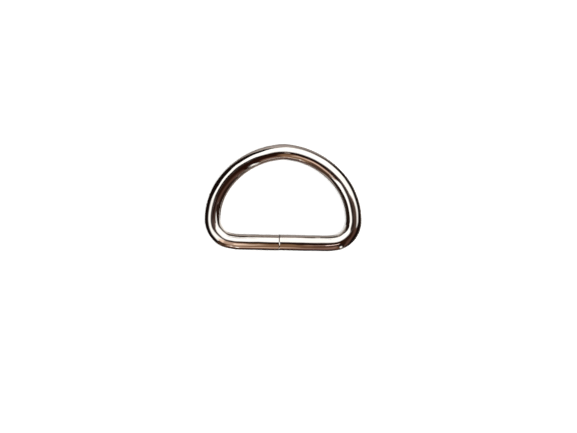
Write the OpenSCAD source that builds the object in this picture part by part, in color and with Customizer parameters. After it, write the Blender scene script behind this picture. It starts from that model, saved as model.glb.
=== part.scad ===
// D ring bent from one length of round wire, lying flat.
// The bar runs along X, the crown is towards +Y, and the wire rests on z = 0.
// The origin is under the middle of the ring's own box.

/* [Wire] */
// Diameter of the round wire that the ring is bent from
wire_d = 3; // [2:0.1:5]

/* [Opening] */
// Width of the opening, which is the width of the strap that it takes
opening_w = 25; // [20:0.5:32]
// Height of the opening from the bar to the crown
opening_h = 15; // [12:0.5:20]
// Inner radius of the two bends at the ends of the bar
corner_r = 3; // [1.5:0.1:5]

/* [Arch] */
// Inner radius of the crown, where the arch comes to its slight point
crown_r = 6.4; // [4:0.1:12]
// Turn of the crown to each side of its middle, in degrees
crown_turn = 6.5; // [3:0.5:20]
// Turn of each shoulder, between the crown and the flank, in degrees
shoulder_turn = 45.5; // [35:0.5:55]

/* [Joint] */
// Place of the joint along the bar, from the middle of the bar
joint_x = -0.6; // [-4:0.1:4]
// Gap between the two wire ends that meet there
joint_gap = 0.1; // [0.05:0.05:1]
// Radius that tumbling leaves on the edge of each wire end
end_edge_r = 0.12; // [0.05:0.01:0.5]

/* [Hidden] */
$fn = 96;

wire_r = wire_d / 2;

// The wire's centreline: half its width, its whole height, and its tight bends
half_w = opening_w / 2 + wire_r;
height = opening_h + wire_d;
crown_bend_r = crown_r + wire_r;
corner_bend_r = corner_r + wire_r;

bar_y = -height / 2;
corner_y = bar_y + corner_bend_r;
bar_half = half_w - corner_bend_r;

// From the crown down, each side turns through crown, shoulder and flank until it is upright at the corner's
// height. Both shoulder and flank are arcs, tangent where they meet. Two equations give their radii: what the
// three arcs go across adds up to half the width, and what they go down adds up to the height above the corner.
flank_start = crown_turn + shoulder_turn;
crown_across = crown_bend_r * sin(crown_turn);
crown_down = crown_bend_r * (1 - cos(crown_turn));
rest_across = half_w - crown_across;
rest_down = height - corner_bend_r - crown_down;
shoulder_across = sin(flank_start) - sin(crown_turn);
shoulder_down = cos(crown_turn) - cos(flank_start);
flank_across = 1 - sin(flank_start);
flank_down = cos(flank_start);
determinant = shoulder_across * flank_down - flank_across * shoulder_down;
shoulder_bend_r = (rest_across * flank_down - flank_across * rest_down) / determinant;
flank_bend_r = (shoulder_across * rest_down - shoulder_down * rest_across) / determinant;

// Centres of the bends
crown_centre = [0, height / 2 - crown_bend_r];
shoulder_centre = crown_centre + (crown_bend_r - shoulder_bend_r) * [sin(crown_turn), cos(crown_turn)];
flank_centre = [half_w - flank_bend_r, corner_y];
corner_centre = [bar_half, corner_y];

// Places its children in a coarse and a fine step, so that bends which meet share their end faces exactly
module place(at) {
    coarse = [for (length = at) round(length * 1000) / 1000];
    translate(coarse)
    translate(at - coarse)
    children();
}

// The wire bent about a centre in the ring's plane, from a start angle through a turn, both in degrees
module bend(centre, bend_r, start, turn) {
    place([centre.x, centre.y, wire_r])
    rotate_extrude(angle = turn, start = start)
    place([bend_r, 0])
    circle(d = wire_d);
}

// A straight wire along Z from the origin, whose far end has a rounded edge
module straight_end(length) {
    rotate_extrude()
    union() {
        square([wire_r, length - end_edge_r]);
        square([wire_r - end_edge_r, length]);
        translate([wire_r - end_edge_r, length - end_edge_r])
        circle(r = end_edge_r);
    }
}

// The right side of the ring from the crown down to the bar
module side() {
    bend(shoulder_centre, shoulder_bend_r, 90 - flank_start, shoulder_turn);
    bend(flank_centre, flank_bend_r, 0, 90 - flank_start);
    bend(corner_centre, corner_bend_r, -90, 90);
}

// The bar: two straight wire ends that face each other across the joint
module bar() {
    translate([-bar_half, bar_y, wire_r])
    rotate([0, 90, 0])
    straight_end(bar_half + joint_x - joint_gap / 2);
    translate([bar_half, bar_y, wire_r])
    rotate([0, -90, 0])
    straight_end(bar_half - joint_x - joint_gap / 2);
}

// The whole ring
module d_ring() {
    color([0.76, 0.72, 0.68])
    union() {
        bend(crown_centre, crown_bend_r, 90 - crown_turn, 2 * crown_turn);
        side();
        mirror([1, 0, 0])
        side();
        bar();
    }
}

d_ring();
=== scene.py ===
import math

import bpy
import numpy as np
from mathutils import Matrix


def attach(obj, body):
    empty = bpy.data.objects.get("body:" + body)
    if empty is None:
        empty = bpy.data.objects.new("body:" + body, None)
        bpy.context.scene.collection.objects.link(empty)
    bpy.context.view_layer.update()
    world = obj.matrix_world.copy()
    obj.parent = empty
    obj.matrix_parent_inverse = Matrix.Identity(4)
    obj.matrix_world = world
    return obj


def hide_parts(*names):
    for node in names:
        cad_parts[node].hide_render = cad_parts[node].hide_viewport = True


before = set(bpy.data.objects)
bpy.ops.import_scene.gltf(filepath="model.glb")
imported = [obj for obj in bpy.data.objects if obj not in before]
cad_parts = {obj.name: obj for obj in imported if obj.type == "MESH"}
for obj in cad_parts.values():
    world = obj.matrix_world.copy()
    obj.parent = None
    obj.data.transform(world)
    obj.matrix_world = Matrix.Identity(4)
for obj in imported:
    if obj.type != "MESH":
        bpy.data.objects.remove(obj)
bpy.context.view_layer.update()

# Camera
# The ring is seen from straight above, through a long lens, so the wire hardly shows its sides.
# It lies a little above and left of the middle of the picture, turned one degree clockwise.

MM = 0.001
lens = 100.0
film_width = 36.0
nearest_seen = 0.01
shot_width = 114.4 * MM
focus_height = 1.5 * MM
ring_turn = math.radians(1.02)
ring_left = 0.975 * MM
ring_above = 3.815 * MM

camera_data = bpy.data.cameras.new("camera")
camera_data.lens = lens
camera_data.sensor_width = film_width
camera_data.clip_start = nearest_seen
camera = bpy.data.objects.new("camera", camera_data)
across = np.array((math.cos(ring_turn), math.sin(ring_turn)))
upward = np.array((-math.sin(ring_turn), math.cos(ring_turn)))
aim = across * ring_left - upward * ring_above
camera.location = (aim[0], aim[1], focus_height + shot_width * lens / film_width)
camera.rotation_euler = (0.0, 0.0, ring_turn)
bpy.context.scene.collection.objects.link(camera)
bpy.context.scene.camera = camera
bpy.context.scene.view_settings.view_transform = "Standard"

# Ring
# One length of 3 mm drawn steel wire, cut to length, bent cold round a former into a D and closed end to end
# near the middle of the bar without a weld. It is polished and nickel plated after bending.

wire_d = 3.0
wire_extra_r = 0.03
opening_width = 25.0
opening_height = 15.0
corner_inner_r = 3.0
crown_inner_r = 6.4
wire_r = wire_d / 2 + wire_extra_r
half_width = (opening_width + wire_d) / 2
half_height = (opening_height + wire_d) / 2
corner_r = corner_inner_r + wire_d / 2
crown_r = crown_inner_r + wire_d / 2
crown_turn = math.radians(6.5)
shoulder_turn = math.radians(45.5)
flank_turn = math.pi / 2 - crown_turn - shoulder_turn
joint_x = -0.74
joint_gap = 0.02
end_edge_r = 0.03
end_bevel = 0.18
end_bevel_drop = 0.074
bevel_starts = (-0.3, 0.0)
bevel_stops = (0.55, 0.9)
end_burr = 0.06
end_burr_length = 0.15
burr_side = (0.75, 1.0)
end_taper = 0.01
end_taper_reach = (0.2, 2.2)
end_step = 0.025
end_step_reach = (0.5, 5.0)
# The reach of the painted shade at the joint: the cut face, and a band on the inner half of each end.
cut_face_length = 0.01
first_joint_shade = 0.02
last_joint_shade = 0.13
joint_shade_fade = 0.04
joint_shade_side = (-0.25, 0.05)
left_lift = 0.12
left_lift_x = -10.3
right_lift = 0.08
right_lift_x = 10.1
lift_band = (6.0, 8.0)
oval_wave = 0.006
lobed_wave = 0.004
wave_reach = (0.0, 2.0)
edge_rows = 7
edge_row_gap = 0.02
bevel_row_step = 0.025
bevel_rows_past = 0.1
body_row_gap = 0.06
row_step = 0.12
rows_round = 96


def follow(parts, start, heading, at):
    """Points and sideways directions at the lengths `at` along a line of straights and bends.

    A part is (length, turn to the right). At a length a into a part that starts at p with heading h and has
    the curvature k, the point is p + a sinc(k a / 2) (cos, sin)(h - k a / 2). For a straight, k is 0.
    """
    length = np.array([part[0] for part in parts])
    turn = np.array([part[1] for part in parts])
    curvature = turn / length
    first_heading = heading - np.concatenate(([0.0], np.cumsum(turn)[:-1]))
    first_length = np.concatenate(([0.0], np.cumsum(length)[:-1]))

    def arc(part, a):
        """The step from the start of a part to a length a into it."""
        bend = curvature[part] * a / 2
        chord = a * np.sinc(bend / np.pi)
        way = first_heading[part] - bend
        return np.stack((chord * np.cos(way), chord * np.sin(way)), -1)

    steps = arc(np.arange(len(parts)), length)
    first_point = np.array(start) + np.concatenate((np.zeros((1, 2)), np.cumsum(steps, 0)[:-1]))
    part = np.clip(np.searchsorted(first_length, at, side="right") - 1, 0, len(parts) - 1)
    a = at - first_length[part]
    way = first_heading[part] - curvature[part] * a
    return first_point[part] + arc(part, a), np.stack((-np.sin(way), np.cos(way)), -1)


def ease(low, high, x):
    """0 below low, 1 above high, and 3 t^2 - 2 t^3 between them, where t is how far x has come."""
    t = np.clip((x - low) / (high - low), 0.0, 1.0)
    return t * t * (3 - 2 * t)


# The two middle bends of a side have the radii that bring the line from the crown to the corner.
side_across = half_width - crown_r * math.sin(crown_turn)
side_down = half_height * 2 - corner_r - crown_r * (1 - math.cos(crown_turn))
after_shoulder = crown_turn + shoulder_turn
shoulder_r, flank_r = np.linalg.solve(
    [
        [math.sin(after_shoulder) - math.sin(crown_turn), 1 - math.sin(after_shoulder)],
        [math.cos(crown_turn) - math.cos(after_shoulder), math.cos(after_shoulder)],
    ],
    [side_across, side_down],
)
bar_half = half_width - corner_r
left_length = bar_half + joint_x - joint_gap / 2
right_length = bar_half - joint_x - joint_gap / 2
left_side = [
    (corner_r * math.pi / 2, math.pi / 2),
    (flank_r * flank_turn, flank_turn),
    (shoulder_r * shoulder_turn, shoulder_turn),
    (crown_r * crown_turn, crown_turn),
]
wire_parts = [(left_length, 0.0), *left_side, *left_side[::-1], (right_length, 0.0)]
wire_length = sum(part[0] for part in wire_parts)


def row_places():
    """Lengths along the straight wire where the mesh has its rows.

    Over a cut end's rounded edge they are spaced as 1 - cos t for even steps of t, then close together over
    the bevel, and wider along the body. The second half of the wire mirrors the first.
    """
    edge = end_edge_r * (1 - np.cos(np.linspace(0, np.pi / 2, edge_rows)))
    bevel = np.arange(end_edge_r + edge_row_gap, end_bevel + bevel_rows_past, bevel_row_step)
    body = np.arange(bevel[-1] + body_row_gap, wire_length / 2, row_step)
    from_end = np.concatenate((edge, bevel, body))
    return np.concatenate((from_end, (wire_length - from_end)[::-1]))


def bar_rise(line):
    """How far the bar rises into its corners: lift exp(-d^2) at d mm along from where it rises most."""
    left = left_lift * np.exp(-((line[:, 0] - left_lift_x) ** 2))
    right = right_lift * np.exp(-((line[:, 0] - right_lift_x) ** 2))
    return (left + right) * ease(*lift_band, -line[:, 1])


def bending_waves(v, s):
    """What bending adds to the radius at the angle v round the wire and s mm along it.

    A wave that makes the section oval, 2 turns round and coming and going slowly along the wire, plus a
    smaller one, 3 turns round.
    """
    oval = oval_wave * np.sin(2 * v + 0.9 * s) * np.sin(0.37 * s + 1.0)
    return oval + lobed_wave * np.sin(3 * v - 1.7 * s + 2.0)


def wire_skin():
    """Points of the wire's surface, where each lies on the straight wire before it was bent, and its joint
    shade.

    The section is a circle carried along the line: point = line + r (cos v outward, sin v up). The radius r
    falls to wire_r - end_edge_r over the rounded edge of a cut end, as a quarter circle does, narrows by
    end_taper towards it, and has the waves of a bent wire. The last end is bevelled on its outer half, short
    of the outermost line. Both ends have a small burr on the inside, and stand end_step off the line, to
    opposite sides. The joint shade is painted shade for the dark of the gap: 1 on the cut face and over a
    band on the inner half beside it, 0 elsewhere.
    """
    along = row_places()
    near = np.minimum(along, wire_length - along)
    line, outward = follow(wire_parts, (joint_x - joint_gap / 2, -half_height), math.pi, along)
    rise = bar_rise(line)
    line = line + np.stack((0 * rise, rise), -1)
    into_edge = np.clip(end_edge_r - near, 0, end_edge_r)
    r = wire_r - end_edge_r + np.sqrt(end_edge_r**2 - into_edge**2)
    r = r - end_taper * (1 - ease(*end_taper_reach, near))
    last = along > wire_length / 2
    v = np.linspace(0, 2 * np.pi, rows_round, endpoint=False)[None, :]
    side = np.cos(v)
    s = along[:, None]
    n = near[:, None]
    waves = bending_waves(v, s) * ease(*wave_reach, n)
    burr = end_burr * (1 - ease(0.0, end_burr_length, n)) * ease(*burr_side, -side)
    bevel_depth = np.where(last, end_bevel_drop * np.clip(1 - near / end_bevel, 0, 1), 0.0)[:, None]
    bevel_depth = bevel_depth * ease(*bevel_starts, side) * (1 - ease(*bevel_stops, side))
    r = r[:, None] + waves + burr - bevel_depth
    slip = end_step * np.where(last, 1.0, -1.0) * (1 - ease(*end_step_reach, near))
    x = line[:, :1] + r * side * outward[:, :1]
    y = line[:, 1:] + r * side * outward[:, 1:] + slip[:, None]
    z = wire_r + r * np.sin(v)
    points = np.stack((x, y, z), -1)
    unbent = np.stack((s + 0 * v, r * side, r * np.sin(v)), -1)
    # Painted shade at the joint: the cut face and a band on its inner half, where the gap looks dark.
    shade_reach = np.where(last, last_joint_shade, first_joint_shade)[:, None]
    cut_face = 1 - ease(0.0, cut_face_length, n)
    inner_joint_shade = (1 - ease(shade_reach, shade_reach + joint_shade_fade, n)) * (1 - ease(*joint_shade_side, side))
    return points, unbent, np.maximum(cut_face, inner_joint_shade)


def tube_mesh(name, points):
    """A mesh of quads over a grid of rings, closed by a fan of triangles at each end, facing outwards.

    The quad at row i, column j has the corners (i, j), (i, j + 1), (i + 1, j + 1), (i + 1, j), and the last
    column meets the first. Each end's fan meets at the mean of its ring.
    """
    rows, columns = points.shape[:2]
    index = np.arange(rows * columns).reshape(rows, columns)
    beside = np.roll(index, -1, axis=1)
    quads = np.stack((index[:-1], beside[:-1], beside[1:], index[1:]), -1).reshape(-1, 4)
    first_pole = rows * columns
    first_fan = np.stack((np.full(columns, first_pole), beside[0], index[0]), -1)
    last_fan = np.stack((np.full(columns, first_pole + 1), index[-1], beside[-1]), -1)
    poles = np.stack((points[0].mean(0), points[-1].mean(0)))
    places = np.concatenate((points.reshape(-1, 3), poles))
    mesh = bpy.data.meshes.new(name)
    mesh.from_pydata(places * MM, [], [*quads.tolist(), *first_fan.tolist(), *last_fan.tolist()])
    mesh.shade_smooth()
    return mesh


class Finish:
    """An output in a material's nodes. Arithmetic on it adds Math nodes, whichever side it stands on."""

    def __init__(self, tree, socket):
        self.tree = tree
        self.socket = socket

    def node(self, kind, settings=None, inputs=None, output=0):
        """Adds a node of that type: its settings first, then the values or links of its sockets."""
        made = self.tree.nodes.new(kind)
        for name, value in (settings or {}).items():
            setattr(made, name, value)
        for name, value in (inputs or {}).items():
            if isinstance(value, Finish):
                self.tree.links.new(value.socket, made.inputs[name])
            else:
                made.inputs[name].default_value = value
        return Finish(self.tree, made.outputs[output] if made.outputs else None)

    def sum(self, operation, first, second):
        """A Math node on two values or outputs."""
        return self.node("ShaderNodeMath", {"operation": operation}, {0: first, 1: second})

    def __add__(self, other):
        return self.sum("ADD", self, other)

    def __radd__(self, other):
        return self.sum("ADD", other, self)

    def __sub__(self, other):
        return self.sum("SUBTRACT", self, other)

    def __rsub__(self, other):
        return self.sum("SUBTRACT", other, self)

    def __mul__(self, other):
        return self.sum("MULTIPLY", self, other)

    def __rmul__(self, other):
        return self.sum("MULTIPLY", other, self)

    def between(self, low, high):
        """0 where the value is below low, 1 above high, eased between them."""
        settings = {"interpolation_type": "SMOOTHSTEP"}
        return self.node("ShaderNodeMapRange", settings, {"Value": self, "From Min": low, "From Max": high})

    def tint(self, colour, amount):
        """This colour mixed towards another by an amount from 0 to 1."""
        settings = {"data_type": "RGBA"}
        return self.node("ShaderNodeMix", settings, {"Factor": amount, "A": self, "B": colour}, "Result")


nickel_colour = (0.72, 0.68, 0.63, 1.0)
worn_colour = (0.66, 0.61, 0.55, 1.0)
# A dull dark grey, painted shade at the joint.
joint_shade_colour = (0.10, 0.085, 0.075, 1.0)
polish_rough = 0.03
haze_rough = 0.04
line_rough = 0.04
cut_rough = 0.3
bump_strength = 0.04
bump_depth = 0.0001
worn_share = 0.5
line_height = 0.55
haze_range = (0.42, 0.68)
line_range = (0.45, 0.75)


def plated_nickel():
    """Bright nickel over drawn steel: fine lines along the wire, a slight haze, and dull painted shade at the
    joint.
    """
    material = bpy.data.materials.new("bright_nickel_plate")
    material.use_nodes = True
    tree = material.node_tree
    tree.nodes.clear()
    start = Finish(tree, None)
    unbent = start.node("ShaderNodeAttribute", {"attribute_name": "unbent"}, output="Vector")
    cut = start.node("ShaderNodeAttribute", {"attribute_name": "joint_shade"}, output="Fac")

    def grain(stretch, scale, detail, rough):
        """Noise over the straight wire, with its lengthwise scale multiplied by stretch."""
        placed = start.node("ShaderNodeMapping", inputs={"Vector": unbent, "Scale": (stretch, 1.0, 1.0)})
        inputs = {"Vector": placed, "Scale": scale, "Detail": detail, "Roughness": rough}
        return start.node("ShaderNodeTexNoise", inputs=inputs)

    cloud = grain(stretch=0.35, scale=0.5, detail=3.0, rough=0.5)
    lines = grain(stretch=0.02, scale=9.0, detail=2.0, rough=0.6)
    peel = grain(stretch=0.8, scale=1.6, detail=2.0, rough=0.5)
    hazy = cloud.between(*haze_range)

    base = start.node("ShaderNodeRGB")
    base.socket.default_value = nickel_colour
    # A random worn tone over the haze, then painted shade that darkens the joint.
    base = base.tint(worn_colour, worn_share * hazy).tint(joint_shade_colour, cut)
    lined = lines.between(*line_range)
    rough = polish_rough + haze_rough * hazy + line_rough * lined + cut_rough * cut
    height = line_height * lines + peel
    bump_inputs = {"Strength": bump_strength, "Distance": bump_depth, "Height": height}
    bump = start.node("ShaderNodeBump", inputs=bump_inputs, output="Normal")
    shader = start.node(
        "ShaderNodeBsdfPrincipled",
        inputs={"Base Color": base, "Metallic": 1.0, "Roughness": rough, "Normal": bump},
        output="BSDF",
    )
    start.node("ShaderNodeOutputMaterial", inputs={"Surface": shader})
    return material


wire_points, wire_unbent, wire_joint_shade = wire_skin()
ring_mesh = tube_mesh("ring_wire", wire_points)
poles_unbent = np.array(((0.0, 0.0, 0.0), (wire_length, 0.0, 0.0)))
unbent_layer = ring_mesh.attributes.new("unbent", "FLOAT_VECTOR", "POINT")
unbent_layer.data.foreach_set("vector", np.concatenate((wire_unbent.reshape(-1, 3), poles_unbent)).ravel())
joint_shade_layer = ring_mesh.attributes.new("joint_shade", "FLOAT", "POINT")
joint_shade_layer.data.foreach_set("value", np.concatenate((wire_joint_shade.ravel(), (1.0, 1.0))))
ring_mesh.materials.append(plated_nickel())
ring = bpy.data.objects.new("ring_wire", ring_mesh)
bpy.context.scene.collection.objects.link(ring)
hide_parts("d_ring")
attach(ring, "root")

# Table
# A sheet of smooth white card that the ring lies flat on. It is matt, and large enough to fill every view.
# The metal doesn't mirror it, and sees the painted shades at the end of this file instead.

table_half = 2.0
table_colour = (0.90, 0.895, 0.885, 1.0)
table_rough = 0.9
table_mesh = bpy.data.meshes.new("table_card")
table_corners = np.array(((-1, -1, 0), (1, -1, 0), (1, 1, 0), (-1, 1, 0))) * table_half
table_mesh.from_pydata(table_corners, [], [(0, 1, 2, 3)])
card = bpy.data.materials.new("white_card")
card.use_nodes = True
card_shader = card.node_tree.nodes["Principled BSDF"]
card_shader.inputs["Base Color"].default_value = table_colour
card_shader.inputs["Roughness"].default_value = table_rough
card_shader.inputs["Specular IOR Level"].default_value = 0.0
table_mesh.materials.append(card)
table = bpy.data.objects.new("table_card", table_mesh)
bpy.context.scene.collection.objects.link(table)
table.visible_glossy = False

# Soft light
# A wide diffuser over the table and pale walls all round, which light the table and soften the ring's shadow.
# The metal doesn't mirror the diffuser, and the painted far walls hide the pale ones from it.

diffuser_size = 0.6
diffuser_power = 7.5
diffuser_place = (0.10, -0.02, 0.8)
wall_colour = (0.97, 0.97, 0.96, 1.0)
wall_strength = 0.8

diffuser_data = bpy.data.lights.new("diffuser", "AREA")
diffuser_data.shape = "DISK"
diffuser_data.size = diffuser_size
diffuser_data.energy = diffuser_power
diffuser = bpy.data.objects.new("diffuser", diffuser_data)
diffuser.location = diffuser_place
bpy.context.scene.collection.objects.link(diffuser)
diffuser.visible_glossy = False
diffuser.visible_camera = False
walls = bpy.data.worlds.new("pale_walls")
walls.use_nodes = True
walls.node_tree.nodes["Background"].inputs["Color"].default_value = wall_colour
walls.node_tree.nodes["Background"].inputs["Strength"].default_value = wall_strength
bpy.context.scene.world = walls

# Far walls
# A stand-in for the unknown room that the polished metal mirrors, painted on a sphere: a tall window from the
# east over the north to the south-west, a pale table beyond the crown, brown walls to the east and
# south-east, and darkness elsewhere. Only the metal sees it. It belongs to the light, not to the ring.

far_r = 400.0
far_rows = 200
far_columns = 400
pole_gap = 0.004
darkness = (0.009, 0.0045, 0.0035)

# A card has its colour, the widths that its edges are soft over, along the lean and in degrees at its ends,
# and an outline, in rows of heading, low lean and high lean. Each card covers the ones before it.
far_cards = {
    "south_east_gloom": ((0.034, 0.012, 0.006), (0.12, 10), [(280, -0.3, 0.56), (338, -0.3, 0.50)]),
    "brown_wall": (
        (0.115, 0.058, 0.044),
        (0.08, 6),
        [
            (290, 0.62, 0.86), (300, 0.54, 0.84), (312, 0.38, 0.72), (322, 0.38, 0.56), (340, 0.22, 0.54),
            (352, 0.16, 0.50), (365, 0.30, 0.48), (375, 0.36, 0.46),
        ],
    ),
    "west_ceiling": ((0.07, 0.045, 0.04), (0.08, 20), [(100, -0.2, 0.14), (230, -0.2, 0.18)]),
    "east_ceiling": (
        (0.095, 0.055, 0.045),
        (0.10, 10),
        [(-8, 0.05, 0.36), (20, -0.2, 0.36), (50, -0.2, 0.2)],
    ),
    "east_glow": (
        (0.43, 0.335, 0.31),
        (0.11, 8),
        [(-4, 0.32, 0.46), (10, 0.26, 0.46), (22, 0.18, 0.46), (36, 0.10, 0.46)],
    ),
    "north_table": (
        (0.46, 0.40, 0.38),
        (0.05, 12),
        [(50, 0.84, 1.2), (66, 0.76, 1.2), (80, 0.68, 1.2), (95, 0.60, 1.2), (136, 0.60, 1.2)],
    ),
    # Painted shade: the table right under and around the ring is darker.
    "north_table_shade": ((0.30, 0.27, 0.25), (0.05, 12), [(50, 0.90, 1.2), (130, 0.90, 1.2)]),
    "window": (
        (1.55, 1.57, 1.60),
        (0.09, 3),
        [
            (-14, 0.40, 0.44), (-4, 0.395, 0.51), (10, 0.40, 0.57), (20, 0.31, 0.58), (28, 0.13, 0.60),
            (38, 0.07, 0.65), (50, 0.08, 0.68), (65, 0.08, 0.67), (80, 0.07, 0.66), (90, 0.04, 0.66),
            (100, 0.05, 0.66), (110, 0.06, 0.65), (120, 0.07, 0.62), (130, 0.08, 0.61), (140, 0.08, 0.56),
            (150, 0.13, 0.49), (155, 0.17, 0.50), (160, 0.24, 0.51), (170, 0.27, 0.53), (180, 0.26, 0.51),
            (190, 0.265, 0.52), (200, 0.28, 0.56), (212, 0.21, 0.59), (222, 0.15, 0.575), (232, 0.14, 0.60),
            (245, 0.16, 0.61),
        ],
    ),
}


def card_mask(heading, lean, edges, outline):
    """1 inside a soft-edged card and 0 outside it.

    The outline runs straight between its rows. Lean is sin(t / 2) for an angle t from straight up, so it is 0
    overhead, 0.71 at the horizon and 1 straight down. The edges are eased over the first of the two widths
    along the lean, and over the second, in degrees, at the first and last heading.
    """
    soft, ends = edges
    outline = np.array(outline, float)
    first, last = outline[0, 0], outline[-1, 0]
    h = first + (heading - first) % 360
    h = np.where(h > (first + last) / 2 + 180, h - 360, h)
    low = np.interp(h, outline[:, 0], outline[:, 1])
    high = np.interp(h, outline[:, 0], outline[:, 2])
    inside = ease(low - soft, low + soft, lean) * (1 - ease(high - soft, high + soft, lean))
    return inside * ease(first - ends, first + ends, h) * (1 - ease(last - ends, last + ends, h))


def painted_globe(radius, heading, rows, cards):
    """Points of a sphere at those headings, in rows from straight up to straight down, and their colours.

    point = radius (sin t cos h, sin t sin h, cos t). Where a card's mask is m, paint = old (1 - m) + card m.
    """
    h = np.radians(heading)[None, :]
    t = np.linspace(pole_gap, np.pi - pole_gap, rows)[:, None]
    points = radius * np.stack((np.sin(t) * np.cos(h), np.sin(t) * np.sin(h), np.cos(t) + 0 * h), -1)
    paint = np.zeros(points.shape[:2] + (4,))
    paint[...] = (*darkness, 1.0)
    for colour, edges, outline in cards.values():
        inside = card_mask(np.degrees(h) + 0 * t, np.sin(t / 2) + 0 * h, edges, outline)[..., None]
        paint = paint * (1 - inside) + inside * np.array((*colour, 1.0))
    return points, paint


glow = bpy.data.materials.new("painted_card")
glow.use_nodes = True
glow.node_tree.nodes.clear()
blank = Finish(glow.node_tree, None)
glow_paint = blank.node("ShaderNodeAttribute", {"attribute_name": "paint"}, output="Color")
glow_cover = blank.node("ShaderNodeAttribute", {"attribute_name": "paint"}, output="Alpha")
glow_light = blank.node("ShaderNodeEmission", inputs={"Color": glow_paint, "Strength": 1.0})
glow_clear = blank.node("ShaderNodeBsdfTransparent")
glow_card = blank.node("ShaderNodeMixShader", inputs={0: glow_cover, 1: glow_clear, 2: glow_light})
blank.node("ShaderNodeOutputMaterial", inputs={"Surface": glow_card})


def hang(name, mesh, paint):
    """Adds a painted card that only the metal sees. It glows in its own colours and lights nothing else.

    The paint is one colour, or one for each of the mesh's points. Its fourth value is how far the card covers
    what is behind it.
    """
    layer = mesh.color_attributes.new("paint", "FLOAT_COLOR", "POINT")
    colours = np.broadcast_to(np.reshape(np.array(paint, float), (-1, 4)), (len(mesh.vertices), 4))
    layer.data.foreach_set("color", np.ascontiguousarray(colours).ravel())
    mesh.materials.append(glow)
    hung = bpy.data.objects.new(name, mesh)
    bpy.context.scene.collection.objects.link(hung)
    hung.visible_camera = False
    hung.visible_diffuse = False
    hung.visible_shadow = False
    hung.visible_transmission = False
    hung.visible_volume_scatter = False


far_heading = np.linspace(0, 360, far_columns, endpoint=False)
far_points, far_paint = painted_globe(far_r, far_heading, far_rows, far_cards)
far_paint = np.concatenate((far_paint.reshape(-1, 4), far_paint[0, :1], far_paint[-1, :1]))
hang("far_walls", tube_mesh("far_walls", far_points), far_paint)

# South screen
# A nearer part of the painted room, behind the bar: brown boards with darker grooves and light lines across
# them, a few small bright spots, and a bright gap at the right. It stands 85 mm off, so the inside and the
# outside of the bend see it a little differently.

near_r = 85.0
near_rows = 160
near_columns = 220
near_first = 229
near_last = 304
near_cards = {
    "dark_ground": ((0.024, 0.007, 0.004), (0.05, 4), [(225, 0.06, 1.2), (310, 0.06, 1.2)]),
    "foot": ((0.24, 0.19, 0.16), (0.04, 8), [(222, 0.96, 1.2), (300, 0.92, 1.2), (310, 0.90, 1.2)]),
    "left_boards": ((0.135, 0.069, 0.042), (0.08, 2), [(226, 0.18, 0.84), (256, 0.22, 0.84)]),
    "middle_boards": (
        (0.305, 0.172, 0.100),
        (0.08, 3),
        [(248, 0.21, 0.84), (262, 0.23, 0.84), (270, 0.25, 0.84), (276, 0.30, 0.84)],
    ),
    "left_groove": (
        (0.05, 0.030, 0.020),
        (0.06, 3),
        [(224, 0.57, 0.76), (236, 0.62, 0.76), (246, 0.65, 0.76), (252, 0.67, 0.74)],
    ),
    "right_boards": (
        (0.165, 0.079, 0.048),
        (0.07, 3),
        [(272, 0.44, 0.88), (280, 0.44, 0.88), (292, 0.50, 0.84)],
    ),
    "right_ledge": (
        (0.33, 0.20, 0.165),
        (0.05, 3),
        [(272, 0.67, 0.74), (276, 0.63, 0.80), (282, 0.58, 0.75), (288, 0.50, 0.66)],
    ),
    "middle_groove": (
        (0.17, 0.098, 0.048),
        (0.05, 4),
        [(250, 0.58, 0.64), (262, 0.57, 0.62), (274, 0.58, 0.64)],
    ),
    "lower_groove": (
        (0.13, 0.072, 0.062),
        (0.04, 4),
        [(250, 0.76, 0.88), (270, 0.75, 0.88), (286, 0.75, 0.88)],
    ),
    "light_line": (
        (1.0, 0.70, 0.56),
        (0.035, 4),
        [(250, 0.65, 0.71), (262, 0.63, 0.70), (272, 0.62, 0.70)],
    ),
    "upper_left_light": (
        (1.14, 0.83, 0.69),
        (0.07, 3),
        [(228, 0.29, 0.39), (236, 0.28, 0.41), (246, 0.25, 0.38), (254, 0.27, 0.35), (259, 0.30, 0.34)],
    ),
    "spot_halo": ((0.50, 0.38, 0.30), (0.05, 2.5), [(253, 0.56, 0.68), (260, 0.64, 0.74)]),
    "upper_line": ((0.80, 0.66, 0.55), (0.018, 1.5), [(255, 0.40, 0.43), (262, 0.40, 0.43)]),
    "left_spot": ((2.4, 2.2, 2.1), (0.015, 0.4), [(252.6, 0.64, 0.69), (254.4, 0.65, 0.70)]),
    "middle_spot": ((2.4, 2.3, 2.2), (0.015, 0.5), [(258.2, 0.69, 0.73), (262.0, 0.70, 0.74)]),
    "right_gap": (
        (1.4, 1.4, 1.4),
        (0.045, 1.5),
        [(293, 0.65, 0.80), (295, 0.59, 0.80), (296.5, 0.51, 0.77), (298.6, 0.49, 0.77)],
    ),
    "right_foot": ((0.34, 0.31, 0.29), (0.05, 3), [(295, 0.84, 0.90), (310, 0.78, 0.92)]),
}


def sheet_mesh(name, points):
    """A mesh of quads over a grid of points, (i, j), (i, j + 1), (i + 1, j + 1), (i + 1, j) for each."""
    rows, columns = points.shape[:2]
    index = np.arange(rows * columns).reshape(rows, columns)
    quads = np.stack((index[:-1, :-1], index[:-1, 1:], index[1:, 1:], index[1:, :-1]), -1).reshape(-1, 4)
    mesh = bpy.data.meshes.new(name)
    mesh.from_pydata(points.reshape(-1, 3) * MM, [], quads.tolist())
    return mesh


near_heading = np.linspace(near_first, near_last, near_columns)
near_points, near_paint = painted_globe(near_r, near_heading, near_rows, near_cards)
hang("south_screen", sheet_mesh("south_screen", near_points), near_paint)

# Fences
# Three curved bands of card that stand about 34 mm off, a grey one to the north and a near black one to
# either side of it. They put the dark lines beside the window's reflection.

fence_columns = 80

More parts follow.
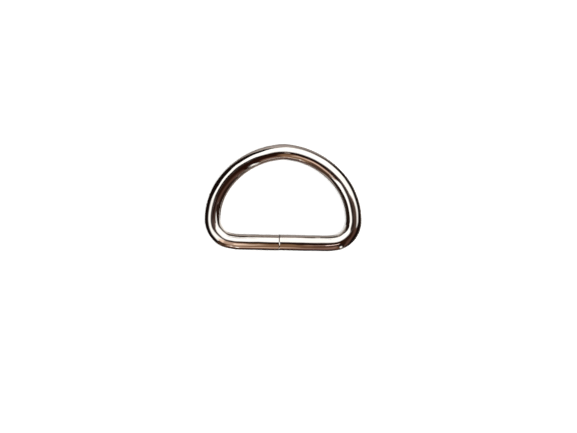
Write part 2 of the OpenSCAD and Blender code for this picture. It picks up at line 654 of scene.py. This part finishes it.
# A fence has its radius, its colour, and rows of heading, low height and high height.
fences = {
    "north_fence": (
        34.0,
        (0.44, 0.38, 0.36),
        [(74, 7.5, 8.0), (82, 5.0, 9.5), (90, 4.0, 12.0), (98, 4.0, 14.5), (108, 4.0, 15.0)],
    ),
    "north_west_fence": (
        33.5,
        darkness,
        [
            (104, 8.0, 10.0), (109, 4.0, 12.0), (114, 2.0, 13.0), (120, -2.5, 12.5), (130, -10.0, 12.0),
            (140, -15.0, 13.0), (152, -18.0, 13.0), (166, -20.0, 10.0),
        ],
    ),
    "north_east_fence": (
        34.0,
        darkness,
        [
            (14, -12.0, 5.0), (25, -13.0, 6.0), (35, -12.0, 5.0), (45, -10.0, 3.0), (55, -7.0, 2.0),
            (66, -5.0, 0.5), (80, -2.0, -1.5),
        ],
    ),
}


def between_rows(rows, steps):
    """A table's columns at even steps of its first one, each straight between the rows."""
    table_rows = np.array(rows)
    even = np.linspace(table_rows[0, 0], table_rows[-1, 0], steps)
    return [even, *(np.interp(even, table_rows[:, 0], column) for column in table_rows[:, 1:].T)]


def hang_upright(name, flat, low, high, colour):
    """Hangs a plain card that stands over a line seen from above, from low to high at each point."""
    foot = np.concatenate((flat, low[:, None]), -1)
    brow = np.concatenate((flat, high[:, None]), -1)
    hang(name, sheet_mesh(name, np.stack((foot, brow))), (*colour, 1.0))


for fence_name, (fence_r, fence_colour, fence_rows) in fences.items():
    fence_heading, fence_low, fence_high = between_rows(fence_rows, fence_columns)
    fence_angle = np.radians(fence_heading)
    fence_flat = fence_r * np.stack((np.cos(fence_angle), np.sin(fence_angle)), -1)
    hang_upright(fence_name, fence_flat, fence_low, fence_high, fence_colour)

# Lids
# Two level bands of card 12 mm over the table that follow the wire round its shoulders, on its outside.
# They darken what the top of the wire mirrors there.

lid_columns = 70
lid_height = 12.0
lid_inner_offset = 0.2

# A lid has its colour, and rows of heading and how far its outer edge is from the wire's line.
lids = {
    "north_west_lid": (
        (0.035, 0.024, 0.021),
        [(106, 0.3), (112, 1.4), (120, 3.3), (130, 5.1), (140, 4.8), (150, 5.0), (160, 4.6)],
    ),
    "north_east_lid": (
        (0.15, 0.118, 0.110),
        [(22, 2.4), (30, 2.9), (40, 2.5), (50, 1.7), (58, 0.4)],
    ),
}

ring_start = (joint_x, -half_height)
walk_steps = 1200
walk = np.linspace(0, wire_length, walk_steps)
walk_outward = follow(wire_parts, ring_start, math.pi, walk)[1]
walk_heading = 360 + np.degrees(np.unwrap(np.arctan2(walk_outward[:, 1], walk_outward[:, 0])))


def wire_line_at(heading):
    """Points of the wire's line where its outside faces those headings, and the outward directions there."""
    at = np.interp(heading, walk_heading[::-1], walk[::-1])
    return follow(wire_parts, ring_start, math.pi, at)


def hang_level(name, flat, height, paint):
    """Hangs a card that lies level over a grid of points seen from above."""
    points = np.concatenate((flat, np.full(flat.shape[:2] + (1,), height)), -1)
    hang(name, sheet_mesh(name, points), paint)


for lid_name, (lid_colour, lid_rows) in lids.items():
    lid_heading, lid_outer_offset = between_rows(lid_rows, lid_columns)
    line, outward = wire_line_at(lid_heading)
    lid_flat = np.stack((line + lid_inner_offset * outward, line + lid_outer_offset[:, None] * outward))
    hang_level(lid_name, lid_flat, lid_height, (*lid_colour, 1.0))

# Upright screens
# Five narrow bands of card that stand along the wire, the first three in the opening and the others outside
# the arch. They are held clear of the table, and put the fine dark and grey lines on the wire's flanks.

screen_columns = 90

# A screen has its distance outwards from the wire's line, its colour, and rows of heading, low height and
# high height.
screens = {
    "east_screen": (
        -3.5,
        (0.020, 0.010, 0.007),
        [
            (-38, 3.0, 3.4), (-31, 2.6, 4.2), (-22, 1.9, 4.95), (-16, 1.1, 4.5), (-11, 0.6, 4.0),
            (36, 0.8, 3.95), (46, 1.9, 3.95),
        ],
    ),
    "north_east_screen": (
        -5.0,
        (0.075, 0.042, 0.025),
        [(46, 1.5, 4.5), (52, 1.85, 4.25), (60, 2.15, 3.8), (70, 2.45, 3.1)],
    ),
    "west_screen": (
        -3.9,
        (0.030, 0.014, 0.009),
        [
            (134, 2.5, 2.95), (142, 2.05, 3.6), (150, 1.9, 4.05), (163, 1.8, 4.35), (167, 1.8, 6.6),
            (172, 1.95, 5.9), (178, 2.4, 4.3), (184, 2.5, 3.15),
        ],
    ),
    "north_west_screen": (
        6.0,
        darkness,
        [
            (98, 4.9, 5.1), (104, 4.2, 5.8), (110, 3.7, 6.5), (120, 3.6, 6.0), (130, 3.0, 5.7),
            (140, 3.0, 6.2), (150, 3.0, 7.0), (157, 3.0, 6.0), (163, 3.2, 5.2), (168, 3.4, 4.0),
        ],
    ),
    "north_rail": (
        6.0,
        (0.42, 0.37, 0.35),
        [(44, 3.0, 3.3), (50, 2.7, 3.7), (60, 2.5, 3.8), (72, 2.5, 3.8), (82, 2.8, 3.2)],
    ),
}
for screen_name, (screen_offset, screen_colour, screen_rows) in screens.items():
    screen_heading, screen_low, screen_high = between_rows(screen_rows, screen_columns)
    line, outward = wire_line_at(screen_heading)
    hang_upright(screen_name, line + screen_offset * outward, screen_low, screen_high, screen_colour)

# Painted shadow in front of the bar
# A near black band on the table in front of the bar: the ring's shadow there, painted for the metal to
# mirror. It gives the bar its dark outer edge, and fades out at its two ends.

strip_x = (-12.5, -9.5, 9.0, 12.0)
strip_cover = (0.0, 1.0, 1.0, 0.0)
strip_y = (-14.2, -10.0)
strip_height = 0.02
bar_shadow_colour = (0.014, 0.007, 0.006)
strip_flat = np.stack(np.meshgrid(strip_x, strip_y), -1)
strip_paint = [(*bar_shadow_colour, cover) for cover in strip_cover] * len(strip_y)
hang_level("bar_shadow_strip", strip_flat, strip_height, strip_paint)

# Slips and slats
# Small level cards with soft edges. Four slips lie in the opening and lighten the inner rim, and one hangs
# 12 mm over its top. Slats 8 mm over the table outside the bar give it peach, tan and pink gleams. A lid
# high on the right and a shade by the right corner are dark.

# A card has its colour, its height, how far its edge fades as a share of its size, and its corners.
slats = {
    "left_corner_slip": (
        (0.95, 0.92, 0.90),
        0.02,
        0.02,
        [(-9.9, -4.0), (-12.6, -4.9), (-11.9, -6.4), (-11.2, -7.0), (-9.4, -4.7), (-6.0, -3.1), (-6.5, -2.3)],
    ),
    "right_corner_slip": (
        (0.90, 0.88, 0.86),
        0.02,
        0.02,
        [(9.2, -4.5), (10.9, -7.0), (11.7, -6.3), (12.2, -5.4), (11.9, -5.1), (10.5, -4.72)],
    ),
    "opening_slip": (
        (0.42, 0.38, 0.35),
        0.02,
        0.10,
        [(9.0, -4.5), (9.3, -3.8), (9.6, 0.6), (7.4, 2.9), (5.5, 3.4), (3.6, -1.5)],
    ),
    "shoulder_slip": (
        (0.28, 0.22, 0.19),
        0.015,
        0.02,
        [
            (-11.6, -2.5), (-11.0, 0.2), (-9.0, 3.3), (-6.0, 5.6), (-3.0, 6.7), (0.0, 7.0), (0.0, 4.0),
            (-4.0, 2.0), (-7.0, -1.0), (-9.5, -3.5),
        ],
    ),
    "corner_slat": (
        (0.66, 0.46, 0.36),
        7.9,
        0.16,
        [(-12.5, -10.8), (-10.2, -11.5), (-11.1, -19.4), (-15.8, -18.1)],
    ),
    "tan_slat": (
        (0.60, 0.40, 0.33),
        8.0,
        0.14,
        [(4.0, -13.2), (6.5, -12.6), (8.6, -12.4), (8.6, -13.8), (4.0, -13.7)],
    ),
    "pink_slat": (
        (1.4, 1.08, 1.02),
        8.0,
        0.10,
        [(8.6, -12.4), (11.6, -11.3), (12.6, -11.4), (11.8, -12.4), (8.6, -13.8)],
    ),
    "east_lid": (
        (0.095, 0.062, 0.050),
        60.0,
        0.10,
        [(19.5, -9.5), (48.0, -17.0), (50.0, 9.0), (20.0, 3.0)],
    ),
    "corner_shade": (
        (0.020, 0.011, 0.008),
        7.5,
        0.12,
        [(12.6, -15.2), (16.5, -13.4), (20.5, -22.0), (15.2, -25.6)],
    ),
    "crown_slip": (
        (0.75, 0.60, 0.52),
        12.0,
        0.10,
        [(0.0, 5.5), (0.7, 5.5), (0.65, 6.9), (0.0, 6.9)],
    ),
    "peach_slat": (
        (1.20, 0.91, 0.74),
        8.0,
        0.14,
        [
            (-3.0, -13.5), (-8.0, -13.1), (-9.3, -12.6), (-10.7, -11.7), (-11.9, -10.9), (-12.9, -9.9),
            (-18.0, -14.0), (-17.0, -18.0), (-9.0, -17.0),
        ],
    ),
}


def soft_card_mesh(name, outline, height, fade):
    """A level card with a border that its paint fades over.

    Each corner stands twice, at middle + (1 - fade) (corner - middle) and again with 1 + fade. The inner ones
    are one face, and a quad lies between each inner side and its outer one.
    """
    rim = np.array(outline)
    corners = len(rim)
    middle = rim.mean(0)
    flat = np.concatenate((middle + (1 - fade) * (rim - middle), middle + (1 + fade) * (rim - middle)))
    here = np.arange(corners)
    after = np.roll(here, -1)
    border = np.stack((here, here + corners, after + corners, after), -1)
    mesh = bpy.data.meshes.new(name)
    points = np.concatenate((flat, np.full((2 * corners, 1), height)), -1)
    mesh.from_pydata(points * MM, [], [here.tolist(), *border.tolist()])
    return mesh


for slat_name, (slat_colour, slat_height, slat_fade, slat_outline) in slats.items():
    slat_mesh = soft_card_mesh(slat_name, slat_outline, slat_height, slat_fade)
    slat_paint = [(*slat_colour, 1.0)] * len(slat_outline) + [(*slat_colour, 0.0)] * len(slat_outline)
    hang(slat_name, slat_mesh, slat_paint)

# Shade under the ring
# What the wire's lower flanks mirror of the table, which darkens where the wire comes down to it. It is a
# painted band under the wire all round, darker to the west of each stretch of wire than to the east.

shade_offsets = np.array((-2.9, -2.3, -1.4, 0.0, 1.4, 2.3, 2.9))
shade_depths = np.array((0.34, 0.14, 0.09, 0.20, 0.08, 0.13, 0.28))
shade_columns = 400
shade_height = 0.01
shade_slope = 0.75
shade_tint = (1.0, 0.86, 0.82)
shade_line, shade_outward = follow(
    wire_parts, ring_start, math.pi, np.linspace(0, wire_length, shade_columns)
)
shade_flat = shade_line[None] + shade_outward[None] * shade_offsets[:, None, None]
shade_facing = 1 + shade_slope * np.sign(shade_offsets)[:, None] * shade_outward[None, :, 0]
shade_paint = np.ones(shade_flat.shape[:2] + (4,))
shade_paint[..., :3] = (shade_depths[:, None] * shade_facing)[..., None] * shade_tint
hang_level("shade", shade_flat, shade_height, shade_paint)

# Gleams
# Two painted bands on the table beside the wire, paler than the shade, one outside its right flank and one
# inside its right shoulder. They put the faint lines low on the wire there.

gleam_columns = 90
gleam_height = 0.013
gleam_tint = (1.0, 0.84, 0.78)

# A gleam has rows of heading, its near and far offset from the wire's line, and its brightness.
gleams = {
    "east_outer_gleam": [
        (-42, 3.0, 5.2, 0.04),
        (-34, 3.0, 5.2, 0.15),
        (0, 3.0, 5.2, 0.20),
        (22, 3.0, 5.2, 0.20),
        (46, 3.0, 5.2, 0.05),
    ],
    "east_inner_gleam": [
        (2, -2.9, -4.6, 0.12),
        (25, -2.9, -4.6, 0.13),
        (45, -2.9, -4.8, 0.26),
        (62, -2.9, -5.0, 0.40),
        (84, -2.9, -4.8, 0.14),
    ],
}
for gleam_name, gleam_rows in gleams.items():
    gleam_heading, gleam_near, gleam_far, gleam_glow = between_rows(gleam_rows, gleam_columns)
    line, outward = wire_line_at(gleam_heading)
    gleam_flat = np.stack((line + gleam_near[:, None] * outward, line + gleam_far[:, None] * outward))
    gleam_paint = np.ones(gleam_flat.shape[:2] + (4,))
    gleam_paint[..., :3] = gleam_glow[None, :, None] * gleam_tint
    hang_level(gleam_name, gleam_flat, gleam_height, gleam_paint)
